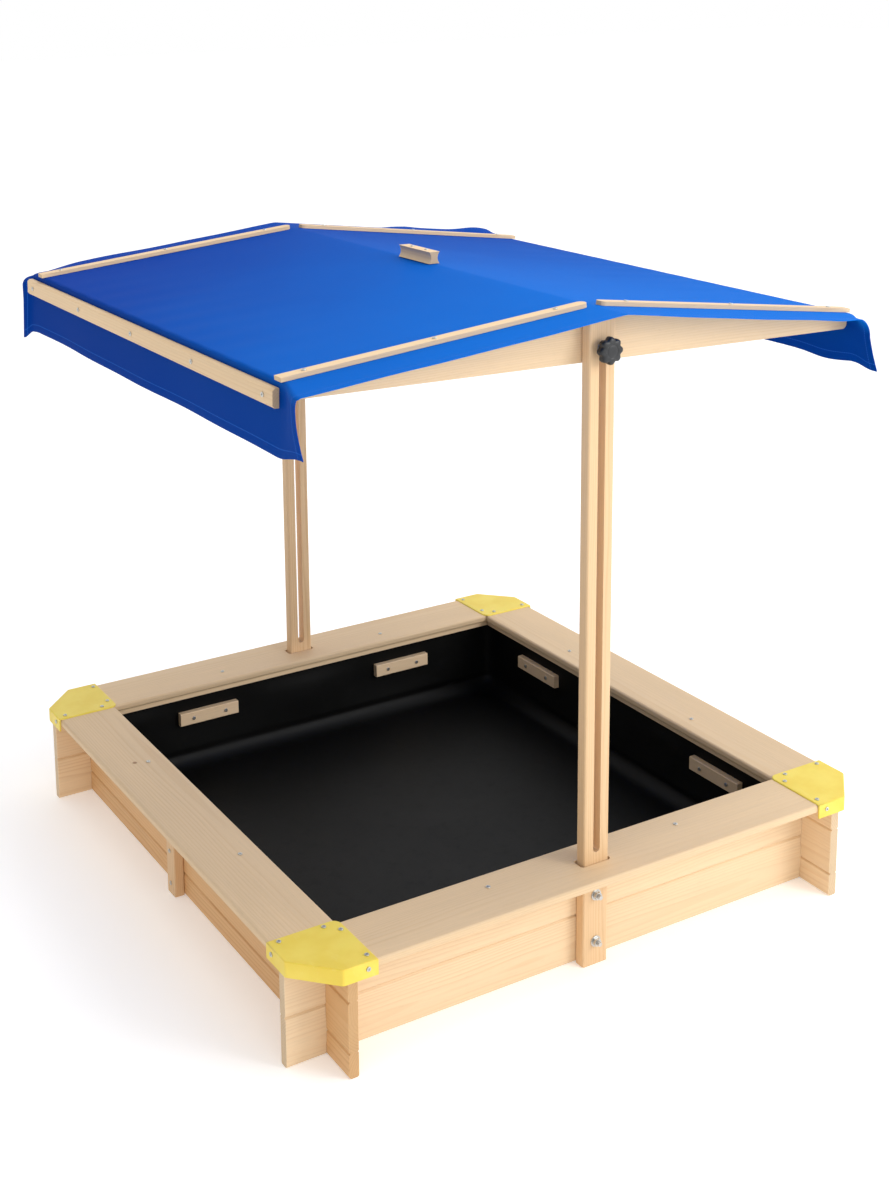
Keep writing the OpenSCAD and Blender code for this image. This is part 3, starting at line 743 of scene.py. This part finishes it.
def linerPlace(point, wall, half):
    # soft creases: the sheet may lift off the ground and lean in from the walls, but stays
    # behind the cleats
    moved = Vector(point)
    crease = noise.noise(Vector((point.x * 5.0, point.y * 5.0, point.z * 9.0)))
    fine = noise.noise(Vector((point.x * 16.0, point.y * 16.0, point.z * 16.0 + 3.0)))
    if wall >= 1.0:
        onSide = abs(point.x) > abs(point.y)
        along = abs(point.y) if onSide else abs(point.x)
        cleatAt = cleatPlaces["y"] if onSide else cleatPlaces["x"]
        away = math.hypot(max(0.0, abs(along - cleatAt) - cleatPlaces["half"]),
                          max(0.0, abs(point.z - cleatPlaces["z"]) - 0.014))
        loose = ease(away / 0.09) * ease((0.158 - point.z) / 0.04)
        lean = 0.006 * loose * (0.5 + crease) + 0.0012 * loose * (0.5 + fine)
        lean = max(0.0, lean)
        if onSide:
            moved.x -= math.copysign(lean, point.x)
        else:
            moved.y -= math.copysign(lean, point.y)
    else:
        rise = 0.0022 * max(0.0, crease + 0.25) + 0.0008 * max(0.0, fine)
        edge = ease((half - max(abs(point.x), abs(point.y))) / 0.08)
        moved.z += rise * (0.4 + 0.6 * edge) * (1 - wall)
        moved.z += 0.004 * wall * (1 - wall) * (0.6 + crease)
    return moved


linerPiece, linerHalf, linerTop = linerSheet()
finishPiece(linerPiece, "box", linerLook(), "liner_sheet",
            "liner_floor", "liner_front", "liner_back", "liner_left", "liner_right")
linerFlat = 2 * (linerHalf + linerTop) - 0.014
4 * linerHalf * linerHalf + 8 * linerHalf * linerTop - 0.03
print("liner made,", round(linerFlat, 3), "square")

# wood: eased copies of the cut pieces
easing = {"merge": 0.00001, "dissolve": math.radians(1.5), "segments": 3}


def eased(node, name, width, sharp=32):
    source = frame["nodes"][node]
    piece = source.copy()
    piece.data = source.data.copy()
    for key in list(piece.keys()):
        del piece[key]
    scene.collection.objects.link(piece)
    piece.parent = None
    piece.matrix_world = Matrix.Identity(4)
    only(piece)
    piece.name = name
    piece.data.name = name
    bpy.ops.object.mode_set(mode="EDIT")
    bpy.ops.mesh.select_all(action="SELECT")
    bpy.ops.mesh.remove_doubles(threshold=easing["merge"])
    bpy.ops.mesh.dissolve_limited(angle_limit=easing["dissolve"])
    bpy.ops.mesh.normals_make_consistent(inside=False)
    bpy.ops.object.mode_set(mode="OBJECT")
    if width:
        apply(piece, "BEVEL", width=width, segments=easing["segments"], limit_method="ANGLE",
              angle_limit=math.radians(30), harden_normals=False)
    smooth(piece, sharp)
    apply(piece, "WEIGHTED_NORMAL", keep_sharp=True)
    return piece


def markEnds(piece, axis):
    # 1 on faces cut across the grain
    index = "xyz".index(axis)
    layer = piece.data.attributes.new("endGrain", "FLOAT", "FACE")
    for face in piece.data.polygons:
        layer.data[face.index].value = 1.0 if abs(face.normal[index]) > 0.8 else 0.0


# node: tone, grain axis, offsets of the tree's middle along and across the grain, edge round
woodParts = {
    "front_plank_low": ("wall", "x", (0.37, 0.046, 0.012), 0.0008),
    "front_plank_high": ("wall", "x", (1.9, 0.060, 0.050), 0.0008),
    "back_plank_low": ("wall", "x", (2.6, -0.050, 0.020), 0.0008),
    "back_plank_high": ("wall", "x", (3.3, -0.055, -0.040), 0.0008),
    # the left wall's planks take the painted-shade wood tone
    "left_plank_low": ("paintedShadeWall", "y", (0.2, 0.050, 0.030), 0.0008),
    "left_plank_mid": ("paintedShadeWall", "y", (1.2, 0.058, -0.030), 0.0008),
    "left_plank_high": ("paintedShadeWall", "y", (2.2, 0.046, 0.020), 0.0008),
    "right_plank_low": ("wall", "y", (3.2, 0.050, -0.020), 0.0008),
    "right_plank_mid": ("wall", "y", (4.2, 0.055, 0.030), 0.0008),
    "right_plank_high": ("wall", "y", (5.2, 0.060, -0.030), 0.0008),
    "seat_front": ("seat", "x", (0.9, 0.045, 0.070), 0.0006),
    "seat_back": ("seat", "x", (1.7, -0.050, 0.080), 0.0006),
    "seat_left": ("seat", "y", (2.9, 0.040, 0.075), 0.0006),
    "seat_right": ("seat", "y", (3.9, -0.050, 0.070), 0.0006),
    # the seat strips and cleats take the lightened cleat tone: painted light
    "seat_strips": ("cleat", "x", (4.1, 0.040, 0.050), 0.0010),
    "cleats": ("cleat", "x", (0.6, 0.040, 0.050), 0.0015),
    "post_front": ("post", "z", (0.7, 0.055, 0.030), 0.0006),
    "post_back": ("post", "z", (1.5, -0.055, 0.030), 0.0006),
    "brace_left": ("post", "z", (2.5, 0.030, 0.050), 0.0008),
    "brace_right": ("post", "z", (3.5, 0.030, 0.050), 0.0008),
    "beam_front": ("canopy", "x", (0.5, 0.040, 0.060), 0.0014),
    "beam_back": ("canopy", "x", (1.4, -0.040, 0.060), 0.0014),
    "ridge_rail": ("canopy", "y", (2.4, 0.020, 0.040), 0.0014),
    "eave_rail_left": ("canopy", "y", (3.4, 0.020, 0.040), 0.0014),
    "eave_rail_right": ("canopy", "y", (4.4, 0.020, 0.040), 0.0014),
    "batten_front_left": ("canopy", "x", (5.5, 0.030, 0.030), 0.0010),
    "batten_front_right": ("canopy", "x", (6.5, 0.030, 0.030), 0.0010),
    "batten_back_left": ("canopy", "x", (7.5, 0.030, 0.030), 0.0010),
    "batten_back_right": ("canopy", "x", (8.5, 0.030, 0.030), 0.0010),
    "eave_batten_left": ("canopy", "y", (5.1, 0.030, 0.030), 0.0014),
    "eave_batten_right": ("canopy", "y", (6.1, 0.030, 0.030), 0.0014),
    "grip_block": ("canopy", "y", (7.1, 0.030, 0.030), 0.0030),
}
boxSlots = {"wall": "wall_wood", "paintedShadeWall": "wall_wood", "post": "wall_wood",
            "cleat": "wall_wood", "seat": "seat_wood", "canopy": "canopy_wood"}
# node: each knot's middle and radius
knots = {
    "right_plank_mid": [(0.515, -0.43, 0.083, 0.010)],
    "seat_left": [(-0.53, 0.21, 0.189, 0.006)],
    "back_plank_high": [(0.18, 0.497, 0.14, 0.007)],
}
for node, (tone, axis, offset, width) in woodParts.items():
    name = camel(node)
    piece = eased(node, name, width)
    markEnds(piece, axis)
    low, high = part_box(node)
    middle = (Vector(low) + Vector(high)) / 2
    turn = grainTurn[axis]
    turned = Matrix.Rotation(turn[2], 3, "Z") @ Matrix.Rotation(turn[1], 3, "Y") @ middle
    pith = Vector(offset) - turned
    material = woodLook(name + "Wood", tone, axis, pith, knots.get(node, ()))
    finishPiece(piece, frame["nodes"][node]["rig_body"], material, boxSlots[tone], node)
print("wood made")

# corner caps and knobs
for node in ("cap_front_left", "cap_front_right", "cap_back_left", "cap_back_right"):
    piece = eased(node, camel(node), 0, 40)
    finishPiece(piece, "box", capPlastic, "cap_plastic", node)

knob = {
    "radius": 0.0229,
    "lobes": 8,
    "lobeDepth": 0.0036,
    # height and share of the radius, from the post's side to the outer face
    "profile": ((0.0, 0.74), (0.0008, 0.88), (0.0028, 0.985), (0.0052, 1.0), (0.0098, 1.0),
                (0.0124, 0.975), (0.0138, 0.91), (0.0146, 0.80), (0.0149, 0.64),
                (0.0150, 0.50), (0.0146, 0.475), (0.0146, 0.43), (0.0149, 0.40),
                (0.0150, 0.20)),
    "neck": 0.008,
    "neckRadius": 0.0105,
}


def starKnob(name, side):
    # rings drawn out of a circle, then pressed in between the lobes; a round neck below
    bpy.ops.mesh.primitive_circle_add(vertices=knob["lobes"] * 16, radius=1.0, fill_type="NGON")
    head = named(name)
    bpy.ops.object.mode_set(mode="EDIT")
    bpy.ops.mesh.select_all(action="SELECT")
    size = 1.0
    level = 0.0
    for height, share in knob["profile"]:
        if height > 0:
            rise = (0, 0, height - level)
            bpy.ops.mesh.extrude_region_move(TRANSFORM_OT_translate={"value": rise})
        scale = share / size
        bpy.ops.transform.resize(value=(scale, scale, 1), center_override=(0, 0, 0))
        size = share
        level = height
    bpy.ops.mesh.select_all(action="SELECT")
    bpy.ops.mesh.normals_make_consistent(inside=False)
    bpy.ops.object.mode_set(mode="OBJECT")
    for vertex in head.data.vertices:
        angle = math.atan2(vertex.co.y, vertex.co.x)
        reach = math.hypot(vertex.co.x, vertex.co.y)
        hollow = (0.5 - 0.5 * math.cos(angle * knob["lobes"])) ** 1.4
        dent = knob["lobeDepth"] * hollow * ease((reach - 0.45) / 0.55)
        wanted = reach * knob["radius"] - dent
        vertex.co.x *= wanted / reach
        vertex.co.y *= wanted / reach
        vertex.co.z -= knob["profile"][-1][0]
    bpy.ops.mesh.primitive_cylinder_add(vertices=48, radius=knob["neckRadius"],
                                        depth=knob["neck"] + 0.001)
    neck = named(name + "Neck")
    for vertex in neck.data.vertices:
        vertex.co.z -= knob["profile"][-1][0] + (knob["neck"] - 0.001) / 2
    bpy.ops.object.select_all(action="DESELECT")
    neck.select_set(True)
    head.select_set(True)
    bpy.context.view_layer.objects.active = head
    bpy.ops.object.join()
    low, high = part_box(f"knob_{side}")
    middle = (Vector(low) + Vector(high)) / 2
    sign = -1 if side == "front" else 1
    face = low.y if side == "front" else high.y
    turned = Matrix.Rotation(-sign * math.pi / 2, 4, "X")
    head.matrix_world = Matrix.Translation((middle.x, face, middle.z)) @ turned
    bake(head)
    smooth(head, 38)
    return head


for side in ("front", "back"):
    piece = starKnob("knob" + side.title(), side)
    if side == "front":
        knobMaterial = knobLook()
    finishPiece(piece, side + "_knob", knobMaterial, "knob_plastic", "knob_" + side)
print("caps and knobs made")

# fasteners
screw = {"head": 0.004, "rise": 0.0022, "recess": 0.0013, "arm": 0.0019, "armHalf": 0.00052,
         "shank": 0.0018}


def screwHead(length):
    # a low domed head with a cross recess, its face at z 0 and its shank below
    bpy.ops.mesh.primitive_cylinder_add(vertices=28, radius=screw["head"], depth=screw["rise"])
    head = named("screw")
    bpy.ops.object.mode_set(mode="EDIT")
    bpy.ops.mesh.select_all(action="DESELECT")
    bpy.ops.object.mode_set(mode="OBJECT")
    for face in head.data.polygons:
        face.select = face.normal.z > 0.9
    bpy.ops.object.mode_set(mode="EDIT")
    bpy.ops.mesh.select_mode(type="FACE")
    bpy.ops.mesh.bevel(offset=0.0011, segments=3, profile=0.6)
    bpy.ops.object.mode_set(mode="OBJECT")
    for vertex in head.data.vertices:
        vertex.co.z -= screw["rise"] / 2
    cutters = []
    for size in ((screw["arm"], screw["armHalf"]), (screw["armHalf"], screw["arm"])):
        bpy.ops.mesh.primitive_cube_add(size=2)
        cutter = named("cutter")
        cutter.scale = (size[0], size[1], screw["recess"])
        bake(cutter)
        cutters.append(cutter)
    for cutter in cutters:
        apply(head, "BOOLEAN", operation="DIFFERENCE", object=cutter, solver="EXACT")
        bpy.data.objects.remove(cutter)
    below = length - screw["rise"] - 0.0001
    bpy.ops.mesh.primitive_cylinder_add(vertices=16, radius=screw["shank"], depth=below)
    shank = named("shank")
    for vertex in shank.data.vertices:
        vertex.co.z -= screw["rise"] + 0.0001 + below / 2
    bpy.ops.object.select_all(action="DESELECT")
    shank.select_set(True)
    head.select_set(True)
    bpy.context.view_layer.objects.active = head
    bpy.ops.object.join()
    smooth(head, 30)
    return head


def islands(node):
    # the solids of a node, each as a list of its points
    bm = bmesh.new()
    bm.from_mesh(frame["nodes"][node].data)
    bmesh.ops.remove_doubles(bm, verts=bm.verts, dist=easing["merge"])
    seen = set()
    found = []
    for start in bm.verts:
        if start in seen:
            continue
        seen.add(start)
        stack = [start]
        points = []
        while stack:
            vertex = stack.pop()
            points.append(vertex.co.copy())
            for edge in vertex.link_edges:
                other = edge.other_vert(vertex)
                if other not in seen:
                    seen.add(other)
                    stack.append(other)
        found.append(points)
    bm.free()
    return found


def outward(points):
    # a screw's head end and direction: its widest ring lies at the head
    low, high = extent(points)
    size = high - low
    index = max(range(3), key=lambda i: size[i])
    middle = (low + high) / 2
    ends = []
    for sign, limit in ((-1, low[index]), (1, high[index])):
        ring = [p for p in points if abs(p[index] - limit) < 0.0035]
        centre = sum(ring, Vector()) / len(ring)
        ends.append((max((p - centre).length for p in ring), sign, centre))
    wide = max(ends, key=lambda end: end[0])
    narrow = min(ends, key=lambda end: end[0])
    direction = (wide[2] - narrow[2]).normalized()
    reach = max((p - middle).dot(direction) for p in points)
    return middle + direction * reach, direction, size[index]


def screwPieces(node, name, body):
    groups = {}
    for index, points in enumerate(islands(node)):
        tip, direction, length = outward(points)
        spin = (index * 37) % 90
        place = Matrix.Translation(tip) @ direction.to_track_quat("Z", "Y").to_matrix().to_4x4()
        place = place @ Matrix.Rotation(math.radians(spin), 4, "Z")
        groups.setdefault(round(length, 3), []).append(place)
    made = []
    for length, places in groups.items():
        template = screwHead(length)
        made.append(copies(template, name, places))
        bpy.data.objects.remove(template)
    return finishPiece(joined(made, name), body, zinc, "zinc", node)


screwPieces("wood_screws", "woodScrews", "box")
screwPieces("cap_screws", "capScrews", "box")
screwPieces("canopy_screws", "canopyScrews", "canopy")


def threadLook(name, start):
    # zinc with a rolled thread along Y
    look = Look(name)
    place = look.point()
    along = look.add("SeparateXYZ", None, {0: place}).part("Y")
    wave = (along * (2 * math.pi / 0.00125)).math("SINE")
    cloud = look.noise(place, 260.0, 3.0)
    worn = along.math("ABSOLUTE").between(start - 0.001, start + 0.001)
    look.set(BaseColor=look.mix(cloud * 0.3, srgb("d2d2cf"), srgb("8d8b85")), Metallic=1.0)
    look.set(Roughness=cloud * 0.14 + 0.26)
    look.bump(wave * worn, 0.0003, 0.8)
    return look.material


hardware = {
    "post_bolts": ("postBolts", 0.0006, "box"),
    "post_washers": ("postWashers", 0.0004, "box"),
    "post_nuts": ("postNuts", 0.0009, "box"),
    "clamp_bolts": ("clampBolts", 0.0006, "clamps"),
    "clamp_washers": ("clampWashers", 0.0004, "clamps"),
}
threaded = threadLook("threadedZinc", 0.51)
for node, (name, width, body) in hardware.items():
    piece = eased(node, name, width, 35)
    finishPiece(piece, body, threaded if node.endswith("bolts") else zinc, "zinc", node)
print("fasteners made")

# floor, light and camera
studio = {
    "floor": "ffffff",
    "floorGlow": 0.24,
    "keyPlace": (2.2, -3.4, 2.3),
    "keySize": 2.0,
    "keyPower": 66.0,
    "topPlace": (1.0, -0.4, 4.2),
    "topSize": 2.6,
    "topPower": 34.0,
    "leftShade": 0.42,
}


def floorLook():
    look = Look("studioFloor")
    cloud = look.noise(look.point(), 1.3, 2.0)
    look.set(BaseColor=look.mix(cloud, srgb("f7f7f7"), srgb(studio["floor"])), Roughness=0.9)
    look.set(SpecularIORLevel=0.0, EmissionColor=(1, 1, 1, 1), EmissionStrength=studio["floorGlow"])
    return look.material


bpy.ops.mesh.primitive_plane_add(size=60, location=(0, 0, -0.0004))
floor = named("studioFloor")
bake(floor)
floor.data.materials.append(floorLook())


def areaLight(name, place, size, power):
    light = bpy.data.lights.new(name, "AREA")
    light.shape = "DISK"
    light.size = size
    light.energy = power
    lamp = bpy.data.objects.new(name, light)
    lamp.location = place
    lamp.rotation_euler = (Vector((0, 0, 0.3)) - Vector(place)).to_track_quat("-Z", "Y").to_euler()
    scene.collection.objects.link(lamp)


areaLight("keyLight", studio["keyPlace"], studio["keySize"], studio["keyPower"])
areaLight("topLight", studio["topPlace"], studio["topSize"], studio["topPower"])
world = bpy.data.worlds.new("studioWorld")
world.use_nodes = True
nodes = world.node_tree.nodes
links = world.node_tree.links
direction = nodes.new("ShaderNodeTexCoord")
split = nodes.new("ShaderNodeSeparateXYZ")
links.new(direction.outputs["Generated"], split.inputs[0])
fall = nodes.new("ShaderNodeMapRange")
fall.inputs["From Min"].default_value = -0.95
fall.inputs["From Max"].default_value = -0.15
fall.inputs["To Min"].default_value = studio["leftShade"]
fall.inputs["To Max"].default_value = 1.0
links.new(split.outputs["X"], fall.inputs["Value"])
links.new(fall.outputs[0], nodes["Background"].inputs["Strength"])
nodes["Background"].inputs["Color"].default_value = (1, 1, 1, 1)
scene.world = world

shot = {
    "place": (-1.636, -2.5854, 1.682),
    "azimuth": math.radians(-28.77),
    "elevation": math.radians(11.13),
    "roll": -0.0206,
    "lens": 49.98,
    "shift": (0.1037, -0.2516),
}
right = Vector((math.cos(shot["azimuth"]), math.sin(shot["azimuth"]), 0))
back = Vector((math.sin(shot["azimuth"]) * math.cos(shot["elevation"]),
               -math.cos(shot["azimuth"]) * math.cos(shot["elevation"]),
               math.sin(shot["elevation"])))
upward = back.cross(right)
cameraX = math.cos(shot["roll"]) * right + math.sin(shot["roll"]) * upward
cameraY = -math.sin(shot["roll"]) * right + math.cos(shot["roll"]) * upward
turn = Matrix((cameraX, cameraY, back)).transposed()
lens = bpy.data.cameras.new("mainCamera")
lens.lens = shot["lens"]
lens.sensor_width = 36
lens.sensor_fit = "AUTO"
lens.shift_x = shot["shift"][0]
lens.shift_y = shot["shift"][1]
camera = bpy.data.objects.new("mainCamera", lens)
camera.matrix_world = Matrix.Translation(shot["place"]) @ turn.to_4x4()
scene.collection.objects.link(camera)
scene.camera = camera
print("studio made")
